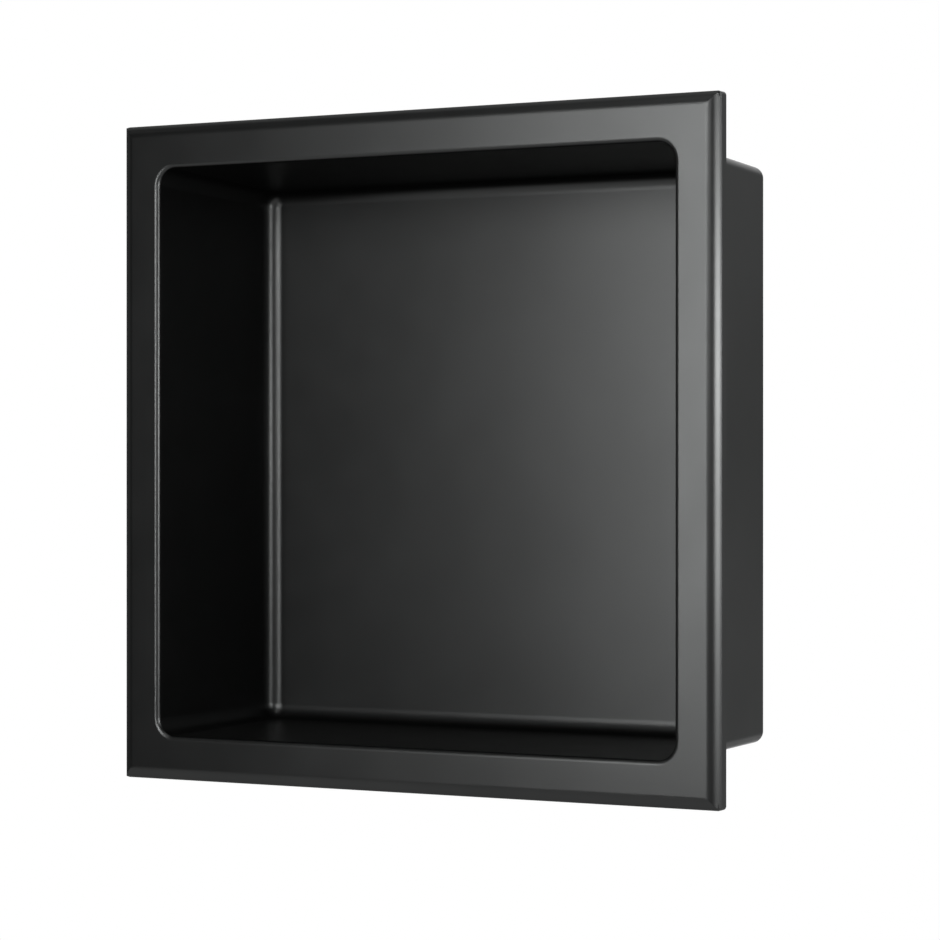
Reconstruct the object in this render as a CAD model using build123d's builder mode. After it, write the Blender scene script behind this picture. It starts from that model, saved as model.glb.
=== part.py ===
# Recessed wall niche for a shower: one square sheet-metal tray with a face flange.
# Millimetres. +Z is up, the open front faces -Y, and +Y points into the wall.
# The origin is the middle of the plane in which the flange's lip meets the wall.

import os
from math import asin, degrees, radians, sin

from build123d import *

# Sheet
sheet = 1.2              # thickness of the metal, the same everywhere

# Recess
opening_size = 264.0     # square opening, wall to wall at the front face
bend_inside = 1.1        # inside radius of the bend from the flange into the recess
recess_depth = 97.0      # from the front face to the back panel
side_draft = 0.3         # degrees that each side wall leans in towards the back
ceiling_slope = 2.7      # degrees that the ceiling slopes down towards the back
floor_slope = 1.0        # degrees that the floor falls towards the front, to drain
back_radius = 5.5        # inside radius between the walls and the back panel
panel_corner = 1.9       # corner radius of the flat back panel, inside its rounded edge

# Face flange
flange_border = 20.5     # width of the flange on each side of the opening
flange_depth = 8.7       # from the flange's front face back to the wall
rim_inside = 5.4         # inside radius of the flange's rounded rim
rim_sweep = 68.0         # degrees that the rim turns before the crease into the lip
lip_corner_inside = 0.6  # inside radius of the lip's corners, seen from the front

flange_size = opening_size + 2 * flange_border
front_plane = Plane(origin=(0, -flange_depth, 0), x_dir=(1, 0, 0), z_dir=(0, 1, 0))


def flange_section(plane, inset):
    """Section of the flange block: lip, rounded rim and flat front, set in from the outside."""
    half = flange_size / 2 - inset
    front = -(flange_depth - inset)
    radius = rim_inside + sheet - inset
    width = (rim_inside + sheet) * sin(radians(rim_sweep)) - inset
    with BuildSketch(plane) as section:
        with BuildLine():
            flat = Line((0, front), (half - width, front))
            rim = JernArc(flat @ 1, (1, 0), radius, degrees(asin(width / radius)))
            Polyline(rim @ 1, (half, 0), (0, 0))
            mirror(about=Plane.YZ)
        make_face()
    return section.sketch


def flange_block(inset):
    """Block under the flange's skin: two crossed extrusions that meet in mitred corners."""
    across = flange_section(Plane.XY, inset)
    upright = flange_section(Plane.XY.rotated((0, 90, 0)), inset)
    with BuildPart() as block:
        extrude(across, amount=flange_size / 2, both=True)
        extrude(upright, amount=flange_size / 2, both=True, mode=Mode.INTERSECT)
        lip_corners = block.edges().filter_by(Axis.Y)
        fillet(lip_corners, lip_corner_inside + sheet - inset)
    return block.part


def recess_block(growth):
    """Block from the opening to the back panel, grown outwards from the recess."""
    side = opening_size + 2 * growth
    with BuildPart() as block:
        with BuildSketch(front_plane):
            Rectangle(side, side)
        extrude(amount=recess_depth + growth)
        draft(block.faces().filter_by(Axis.X), front_plane, side_draft)
        draft(block.faces().sort_by(Axis.Z)[-1], front_plane, ceiling_slope)
        draft(block.faces().sort_by(Axis.Z)[0], front_plane, floor_slope)
        wall_corners = block.edges().group_by(Axis.Y)[1]
        fillet(wall_corners, back_radius + panel_corner + growth)
        fillet(block.edges().group_by(Axis.Y)[-1], back_radius + growth)
    return block.part


# The tray: flange and box are one sheet, so its two skins lie one thickness apart
with BuildPart() as niche_insert:
    add(flange_block(0))
    add(flange_block(sheet), mode=Mode.SUBTRACT)
    add(recess_block(sheet))
    add(recess_block(0), mode=Mode.SUBTRACT)

    # Bend round the opening: inside radius behind the flange, one thickness more on the face
    facing = niche_insert.faces().filter_by(Axis.Y).group_by(Axis.Y)
    fillet(facing[0].face().inner_wires().edges(), bend_inside + sheet)
    facing = niche_insert.faces().filter_by(Axis.Y).group_by(Axis.Y)
    fillet(facing[1].face().inner_wires().edges(), bend_inside)

niche_insert.part.label = "niche_insert"

os.makedirs("parts", exist_ok=True)
export_step(niche_insert.part, "parts/niche_insert.step")
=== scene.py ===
from math import asin, cos, pi, radians, sin, sqrt, tan

import bmesh
import bpy
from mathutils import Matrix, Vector


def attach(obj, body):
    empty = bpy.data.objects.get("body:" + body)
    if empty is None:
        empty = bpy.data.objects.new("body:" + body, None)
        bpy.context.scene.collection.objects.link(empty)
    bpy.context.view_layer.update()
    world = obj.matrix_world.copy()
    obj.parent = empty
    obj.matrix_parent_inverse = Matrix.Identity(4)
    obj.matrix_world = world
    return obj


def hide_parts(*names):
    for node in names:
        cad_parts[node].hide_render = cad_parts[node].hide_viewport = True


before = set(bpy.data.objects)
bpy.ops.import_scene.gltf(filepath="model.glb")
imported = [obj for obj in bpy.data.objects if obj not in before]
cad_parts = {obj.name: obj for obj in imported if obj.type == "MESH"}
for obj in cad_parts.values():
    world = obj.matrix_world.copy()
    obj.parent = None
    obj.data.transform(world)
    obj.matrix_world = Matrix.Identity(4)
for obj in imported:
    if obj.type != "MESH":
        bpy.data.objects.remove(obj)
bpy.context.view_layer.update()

MM = 0.001

# Sizes of the tray, in millimetres
SHEET = 1.2
OPENING_HALF = 132.0
OPENING_CORNER = 8.5          # long corners inside, at the front
BEND_INSIDE = 1.1
RECESS_DEPTH = 97.0
SIDE_DRAFT = radians(0.3)
CEILING_SLOPE = radians(2.7)
FLOOR_SLOPE = radians(1.0)
BACK_RADIUS = 7.0             # walls to back panel, inside
PANEL_CORNER = 0.6            # corners of the flat back panel, inside
BACK_RADIUS_OUTSIDE = 5.0
OUTSIDE_CORNER = 5.4          # long corners outside
FLANGE_BORDER = 20.5
FLANGE_DEPTH = 8.7
RIM_INSIDE = 5.4
RIM_SWEEP = radians(68.0)
LIP_CORNER_INSIDE = 0.6
EDGE_BREAK = 0.15             # rounding of the lip's cut edge
EDGE_MIDDLE = 0.3             # share of it that is left at the middle of the rounding

FLANGE_HALF = OPENING_HALF + FLANGE_BORDER
FRONT_Y = -FLANGE_DEPTH

# Mesh
CORNER_STEPS = 16
CORNER_RUN = 2.0              # straight run beside each corner, which keeps the flats' shading flat
ARC_STEPS = 14
WALL_STEPS = 4
WELD_DISTANCE = 0.002
DEGENERATE_LENGTH = 0.001
SHARP_ANGLE = radians(16)
NORMAL_WEIGHT = 50

# Coating
BLACK_LOW = (0.0463, 0.0474, 0.0471, 1)
BLACK_HIGH = (0.0522, 0.0534, 0.0531, 1)
BLACK_SCALE, BLACK_DETAIL = 14.0, 3.0
ROUGHNESS_LOW, ROUGHNESS_HIGH = 0.35, 0.37
ROUGHNESS_SCALE, ROUGHNESS_DETAIL = 60.0, 4.0
PEEL_SCALE, PEEL_DETAIL = 750.0, 2.0
PEEL_STRENGTH, PEEL_HEIGHT = 0.06, 0.00004
EDGE_TINT = (0.5, 0.5, 0.5, 1)
NOISE_LOW, NOISE_HIGH = 0.3, 0.7

# Stage, in metres
FLOOR_COLOUR = (0.82, 0.82, 0.82)
FLOOR_ROUGHNESS = 0.6
FLOOR_EVENNESS = 0.8          # share of the floor's look that the lamps and flags leave alone
FLOOR_REACH = 4.0
FLOOR_LEVEL = -1.0
CLOTH_COLOUR = (0.01, 0.01, 0.01)
CLOTH_ROUGHNESS = 1.0
FLAG_ROWS, FLAG_COLUMNS = 12, 40
FAR_FLAG, NEAR_FLAG = 2.6, 0.8
AMBIENT = 0.8
MIDDLE = (0.0, 0.0, 0.0)

# Camera
CAMERA_PLACE = (0.68789, -1.20973, -0.00585)
CAMERA_YAW = radians(28.59)
CAMERA_PITCH = radians(-0.098)
FOCAL_PIXELS = 3108.2
PHOTO_WIDTH = 940
SENSOR_WIDTH = 36.0


class Ring:
    """One closed loop of the tray's skin: reach to the side, up and down, corner and depth."""

    def __init__(self, side, top, bottom, corner, y):
        self.side, self.top, self.bottom, self.corner, self.y = side, top, bottom, corner, y

    def points(self):
        for quarter in range(4):
            centre_x, centre_z = self.side - self.corner, self.top - self.corner
            if quarter in (1, 2):
                centre_x = self.corner - self.side
            if quarter in (2, 3):
                centre_z = self.corner - self.bottom
            for step in range(-1, CORNER_STEPS + 2):
                turn = min(max(step, 0), CORNER_STEPS)
                past = (step - turn) * CORNER_RUN
                angle = (quarter + turn / CORNER_STEPS) * pi / 2
                x = centre_x + self.corner * cos(angle) - past * sin(angle)
                z = centre_z + self.corner * sin(angle) + past * cos(angle)
                yield Vector((x, self.y, z)) * MM


def wall_half(y, draft, growth):
    """Half size between two opposite walls at depth y."""
    return OPENING_HALF + growth - (y - FRONT_Y) * tan(draft)


def recess_half(y, draft, growth, bend, bend_y, back, back_y):
    """Half size of the recess's skin at depth y: bend into the wall, wall, and back fillet."""
    bend_centre = bend_y + bend
    if y < bend_centre - bend * sin(draft):
        centre = wall_half(bend_centre, draft, growth) + bend / cos(draft)
        return centre - sqrt(max(bend ** 2 - (y - bend_centre) ** 2, 0.0))
    back_centre = back_y - back
    if y > back_centre + back * sin(draft):
        centre = wall_half(back_centre, draft, growth) - back / cos(draft)
        return centre + sqrt(max(back ** 2 - (y - back_centre) ** 2, 0.0))
    return wall_half(y, draft, growth)


def recess_rings(growth):
    """Rings from the flat of the flange to the flat of the back panel.

    They lie on the inside of the sheet, or on its outside where growth is the sheet's thickness.
    """
    bend = BEND_INSIDE + SHEET - growth
    bend_y = FRONT_Y + growth
    back = BACK_RADIUS_OUTSIDE if growth else BACK_RADIUS
    back_y = FRONT_Y + RECESS_DEPTH + growth
    first_corner = OUTSIDE_CORNER if growth else OPENING_CORNER
    last_corner = OUTSIDE_CORNER if growth else BACK_RADIUS + PANEL_CORNER

    turns = [k * pi / 2 / ARC_STEPS for k in range(ARC_STEPS + 1)]
    wall = back_y - back - bend_y - bend
    depths = [bend_y + bend * (1 - cos(turn)) for turn in turns]
    depths += [bend_y + bend + wall * k / WALL_STEPS for k in range(1, WALL_STEPS)]
    depths += [back_y - back * (1 - sin(turn)) for turn in turns]

    length = RECESS_DEPTH + growth
    rings = []
    for y in depths:
        side, top, bottom = (
            recess_half(y, draft, growth, bend, bend_y, back, back_y)
            for draft in (SIDE_DRAFT, CEILING_SLOPE, FLOOR_SLOPE)
        )
        corner = first_corner + (last_corner - first_corner) * (y - FRONT_Y) / length
        turned = side - wall_half(y, SIDE_DRAFT, growth)
        rings.append(Ring(side, top, bottom, corner + turned, y))
    return rings


def rim_rings(inset):
    """Rings from the lip's rear edge over the crease and the rounded rim, on one skin."""
    half = FLANGE_HALF - inset
    front = FRONT_Y + inset
    lip_corner = LIP_CORNER_INSIDE + SHEET - inset
    radius = RIM_INSIDE + SHEET - inset
    width = (RIM_INSIDE + SHEET) * sin(RIM_SWEEP) - inset
    sweep = asin(width / radius)
    edge = EDGE_BREAK if inset == 0 else -EDGE_BREAK
    mitre = 1 - sqrt(0.5)

    rings = []
    for out, back in ((1.0, 0.0), (EDGE_MIDDLE, EDGE_MIDDLE), (0.0, 1.0)):
        reach = half - out * edge
        rings.append(Ring(reach, reach, reach, lip_corner - out * edge, -back * EDGE_BREAK))
    for k in range(ARC_STEPS + 1):
        angle = sweep * (1 - k / ARC_STEPS)
        drop = width - radius * sin(angle)
        reach = half - drop
        corner = max(lip_corner - drop / mitre, 0.0)
        rings.append(Ring(reach, reach, reach, corner, front + radius * (1 - cos(angle))))
    return rings


def bridge(mesh, loops):
    """Quads between each loop of vertices and the next."""
    for lower, upper in zip(loops, loops[1:]):
        count = len(lower)
        for k in range(count):
            n = (k + 1) % count
            mesh.faces.new((lower[k], lower[n], upper[n], upper[k]))


def tray_mesh():
    """The tray as one closed skin: the front of the sheet, its rear, and the lip's cut edge."""
    front = rim_rings(0) + recess_rings(0)
    rear = rim_rings(SHEET) + recess_rings(SHEET)
    mesh = bmesh.new()
    loops = [[mesh.verts.new(p) for p in ring.points()] for ring in rear[::-1] + front]
    bridge(mesh, loops)
    mesh.faces.new(loops[0])
    mesh.faces.new(loops[-1])
    bmesh.ops.remove_doubles(mesh, verts=mesh.verts, dist=WELD_DISTANCE * MM)
    bmesh.ops.dissolve_degenerate(mesh, edges=mesh.edges, dist=DEGENERATE_LENGTH * MM)
    bmesh.ops.recalc_face_normals(mesh, faces=mesh.faces)
    data = bpy.data.meshes.new("niche_tray")
    mesh.to_mesh(data)
    mesh.free()
    for face in data.polygons:
        face.use_smooth = True
    data.set_sharp_from_angle(angle=SHARP_ANGLE)
    return data


def satin_black():
    """Satin black coating: faint orange peel, uneven sheen and a little drift in the black."""
    material = bpy.data.materials.new("satin_black_coating")
    material.use_nodes = True
    nodes, links = material.node_tree.nodes, material.node_tree.links
    shader = nodes["Principled BSDF"]
    place = nodes.new("ShaderNodeTexCoord")

    def noise(scale, detail):
        texture = nodes.new("ShaderNodeTexNoise")
        texture.inputs["Scale"].default_value = scale
        texture.inputs["Detail"].default_value = detail
        links.new(place.outputs["Object"], texture.inputs["Vector"])
        return texture.outputs["Fac"]

    black = nodes.new("ShaderNodeValToRGB")
    low, high = black.color_ramp.elements
    low.position, low.color = NOISE_LOW, BLACK_LOW
    high.position, high.color = NOISE_HIGH, BLACK_HIGH
    links.new(noise(BLACK_SCALE, BLACK_DETAIL), black.inputs["Fac"])
    links.new(black.outputs["Color"], shader.inputs["Base Color"])

    sheen = nodes.new("ShaderNodeMapRange")
    sheen.inputs["From Min"].default_value = NOISE_LOW
    sheen.inputs["From Max"].default_value = NOISE_HIGH
    sheen.inputs["To Min"].default_value = ROUGHNESS_LOW
    sheen.inputs["To Max"].default_value = ROUGHNESS_HIGH
    links.new(noise(ROUGHNESS_SCALE, ROUGHNESS_DETAIL), sheen.inputs["Value"])
    links.new(sheen.outputs["Result"], shader.inputs["Roughness"])

    shader.inputs["Metallic"].default_value = 1.0
    shader.inputs["Specular Tint"].default_value = EDGE_TINT

    peel = nodes.new("ShaderNodeBump")
    peel.inputs["Strength"].default_value = PEEL_STRENGTH
    peel.inputs["Distance"].default_value = PEEL_HEIGHT
    links.new(noise(PEEL_SCALE, PEEL_DETAIL), peel.inputs["Height"])
    links.new(peel.outputs["Normal"], shader.inputs["Normal"])
    return material


def make_tray():
    tray = bpy.data.objects.new("niche_tray", tray_mesh())
    bpy.context.collection.objects.link(tray)
    tray.data.materials.append(satin_black())
    even = tray.modifiers.new("even_shading", "WEIGHTED_NORMAL")
    even.keep_sharp = True
    even.weight = NORMAL_WEIGHT
    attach(tray, "root")
    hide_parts("niche_insert")


def plain_material(name, colour, roughness):
    material = bpy.data.materials.new(name)
    material.use_nodes = True
    shader = material.node_tree.nodes["Principled BSDF"]
    shader.inputs["Base Color"].default_value = (*colour, 1)
    shader.inputs["Roughness"].default_value = roughness
    return material


def stage_object(name, verts, faces, material):
    data = bpy.data.meshes.new(name)
    data.from_pydata(verts, [], faces)
    data.materials.append(material)
    item = bpy.data.objects.new(name, data)
    bpy.context.collection.objects.link(item)
    return item


def backdrop_rays(nodes, links):
    """1 where the camera, a reflection or a transparent piece looks, 0 for other light."""
    rays = nodes.new("ShaderNodeLightPath")
    seen = nodes.new("ShaderNodeMath")
    seen.operation = "ADD"
    links.new(rays.outputs["Is Camera Ray"], seen.inputs[0])
    links.new(rays.outputs["Is Glossy Ray"], seen.inputs[1])
    also = nodes.new("ShaderNodeMath")
    also.operation = "ADD"
    also.use_clamp = True
    links.new(seen.outputs[0], also.inputs[0])
    links.new(rays.outputs["Is Transmission Ray"], also.inputs[1])
    return also.outputs[0]


def floor_material():
    """Pale floor that looks even from every side and keeps a part of the shadows on it."""
    material = plain_material("pale_floor", FLOOR_COLOUR, FLOOR_ROUGHNESS)
    nodes, links = material.node_tree.nodes, material.node_tree.links
    even = nodes.new("ShaderNodeEmission")
    even.inputs["Color"].default_value = (*FLOOR_COLOUR, 1)
    even.inputs["Strength"].default_value = 1.0
    share = nodes.new("ShaderNodeMath")
    share.operation = "MULTIPLY"
    share.inputs[1].default_value = FLOOR_EVENNESS
    links.new(backdrop_rays(nodes, links), share.inputs[0])
    mix = nodes.new("ShaderNodeMixShader")
    links.new(share.outputs[0], mix.inputs[0])
    links.new(nodes["Principled BSDF"].outputs[0], mix.inputs[1])
    links.new(even.outputs[0], mix.inputs[2])
    links.new(mix.outputs[0], nodes["Material Output"].inputs["Surface"])
    return material


def make_floor():
    corners = [
        (x * FLOOR_REACH, y * FLOOR_REACH, FLOOR_LEVEL)
        for x, y in ((-1, -1), (1, -1), (1, 1), (-1, 1))
    ]
    stage_object("floor", corners, [(0, 1, 2, 3)], floor_material())


def make_flag(name, cloth, radius, first, last, low, high):
    """Dark cloth on part of a sphere round the set, which keeps the black coating black.

    The angles are degrees: from the front towards the right, and up from the level.
    """
    verts, faces = [], []
    for row in range(FLAG_ROWS + 1):
        rise = radians(low + (high - low) * row / FLAG_ROWS)
        for column in range(FLAG_COLUMNS + 1):
            turn = radians(first + (last - first) * column / FLAG_COLUMNS)
            across, ahead = sin(turn) * cos(rise), -cos(turn) * cos(rise)
            verts.append((radius * across, radius * ahead, radius * sin(rise)))
    wide = FLAG_COLUMNS + 1
    for row in range(FLAG_ROWS):
        for column in range(FLAG_COLUMNS):
            corner = row * wide + column
            faces.append((corner, corner + 1, corner + wide + 1, corner + wide))
    flag = stage_object(name, verts, faces, cloth)
    flag.visible_camera = False


def make_flags():
    cloth = plain_material("dark_cloth", CLOTH_COLOUR, CLOTH_ROUGHNESS)
    make_flag("front_flag", cloth, FAR_FLAG, first=-60, last=100, low=-20, high=72)
    make_flag("left_flag", cloth, FAR_FLAG, first=-125, last=-60, low=-20, high=35)
    make_flag("top_flag", cloth, FAR_FLAG, first=-95, last=-60, low=48, high=80)
    make_flag("rear_flag", cloth, NEAR_FLAG, first=157, last=235, low=-6, high=8)


def make_world():
    """White to the camera and in reflections, and a low even light otherwise."""
    world = bpy.data.worlds.new("studio")
    bpy.context.scene.world = world
    world.use_nodes = True
    nodes, links = world.node_tree.nodes, world.node_tree.links
    nodes.clear()
    backdrop = nodes.new("ShaderNodeBackground")
    backdrop.inputs["Strength"].default_value = 1.0
    backdrop.inputs["Color"].default_value = (1, 1, 1, 1)
    ambient = nodes.new("ShaderNodeBackground")
    ambient.inputs["Strength"].default_value = AMBIENT
    ambient.inputs["Color"].default_value = (1, 1, 1, 1)
    mix = nodes.new("ShaderNodeMixShader")
    links.new(backdrop_rays(nodes, links), mix.inputs[0])
    links.new(ambient.outputs[0], mix.inputs[1])
    links.new(backdrop.outputs[0], mix.inputs[2])
    out = nodes.new("ShaderNodeOutputWorld")
    links.new(mix.outputs[0], out.inputs["Surface"])


def aim_at(item, place, direction):
    """Puts a lamp or camera in its place, looking along the direction."""
    item.location = place
    item.rotation_euler = direction.to_track_quat("-Z", "Y").to_euler()


def softbox(name, place, aim, width, height, power):
    lamp = bpy.data.lights.new(name, "AREA")
    lamp.shape = "RECTANGLE"
    lamp.size, lamp.size_y, lamp.energy = width, height, power
    item = bpy.data.objects.new(name, lamp)
    bpy.context.collection.objects.link(item)
    aim_at(item, place, Vector(aim) - Vector(place))
    item.visible_camera = False


def make_lights():
    # In front: the sheen on the flange and the back panel
    softbox("front_softbox", (-0.155, -0.75, 0.10), (-0.155, 0.0, 0.05),
            width=0.12, height=0.60, power=3.7)
    softbox("upper_softbox", (0.05, -0.75, 0.26), (0.05, 0.0, 0.08),
            width=0.12, height=0.24, power=1.3)
    softbox("camera_softbox", (0.48, -1.53, 0.35), MIDDLE, width=0.40, height=0.50, power=2.4)
    # At the right: the highlight along the rim; below the box's top, which would mirror them
    softbox("side_softbox", (0.638, -0.145, 0.08), (0.0, 0.025, 0.08),
            width=0.42, height=0.10, power=3.1)
    softbox("low_side_softbox", (0.638, -0.145, -0.05), (0.0, 0.025, -0.05),
            width=0.42, height=0.15, power=1.5)
    # At the left, above and behind: the other sides, and the outside's rounded edges
    softbox("left_softbox", (-1.50, 0.0, 0.10), MIDDLE, width=1.60, height=0.80, power=1.8)
    softbox("top_softbox", (-0.07, -0.75, 1.40), MIDDLE, width=0.80, height=0.80, power=3.0)
    softbox("rear_softbox", (0.0, 1.40, 0.62), MIDDLE, width=0.90, height=0.25, power=2.0)
    softbox("low_rear_softbox", (0.0, 1.40, -0.50), MIDDLE, width=0.90, height=0.20, power=1.8)


def make_camera():
    """The photograph's view: from the right of the middle, level, through a long lens."""
    data = bpy.data.cameras.new("camera")
    data.sensor_width = SENSOR_WIDTH
    data.sensor_fit = "HORIZONTAL"
    data.lens = FOCAL_PIXELS / PHOTO_WIDTH * SENSOR_WIDTH
    camera = bpy.data.objects.new("camera", data)
    bpy.context.collection.objects.link(camera)
    level = cos(CAMERA_PITCH)
    ahead = Vector((-sin(CAMERA_YAW) * level, cos(CAMERA_YAW) * level, sin(CAMERA_PITCH)))
    aim_at(camera, CAMERA_PLACE, ahead)
    bpy.context.scene.camera = camera


make_tray()
make_floor()
make_flags()
make_world()
make_lights()
make_camera()

bpy.context.scene.view_settings.view_transform = "Standard"
